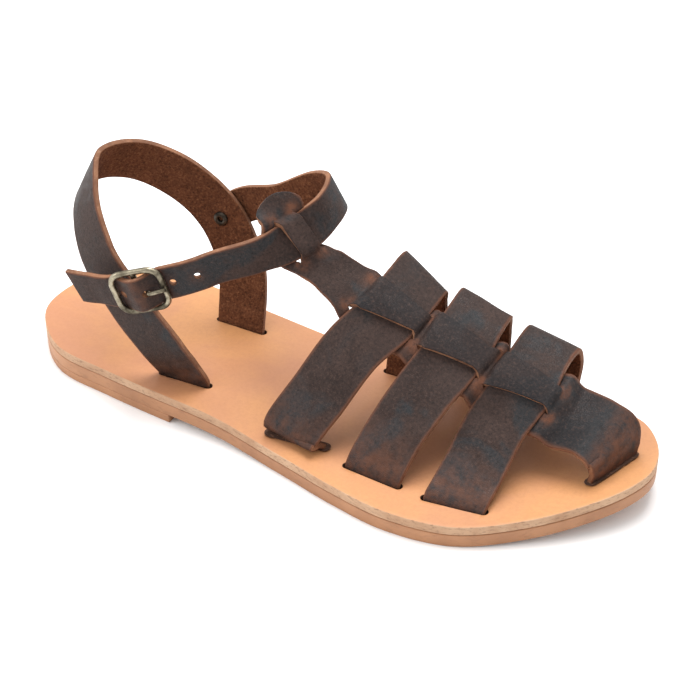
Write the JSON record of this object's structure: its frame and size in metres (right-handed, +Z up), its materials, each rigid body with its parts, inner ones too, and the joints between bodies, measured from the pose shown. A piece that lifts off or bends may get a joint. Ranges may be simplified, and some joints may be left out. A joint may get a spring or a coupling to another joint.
{
  "type": "leather sandal",
  "caption": "Right-foot flat leather sandal with a slotted tongue woven over cross straps, a heel strap and a buckled ankle strap.",
  "frame": {"origin": "on the floor, under the middle of the sole's outline", "axes": "+X from the heel to the toe, +Y to the medial side, +Z up"},
  "size_m": [0.2538, 0.0916, 0.0896],
  "materials": {
    "strap_leather": "oiled dark brown leather, reddish brown where it is bent or rubbed, light brown cut edges",
    "insole_leather": "smooth natural tan leather with a satin top and a pale rough edge",
    "sole_leather": "smooth tan edge, plain underside",
    "aged_brass": "aged, dull in the hollows and brighter on the ridges",
    "dark_metal": "dark aged metal"
  },
  "bodies": {
    "root": {"insole": "insole_leather", "outsole": "sole_leather", "heel_lift": "sole_leather", "upper": "strap_leather", "heel_strap": "strap_leather", "buckle_frame": "aged_brass", "buckle_prong": "aged_brass", "rivet": "dark_metal"}
  },
  "joints": []
}
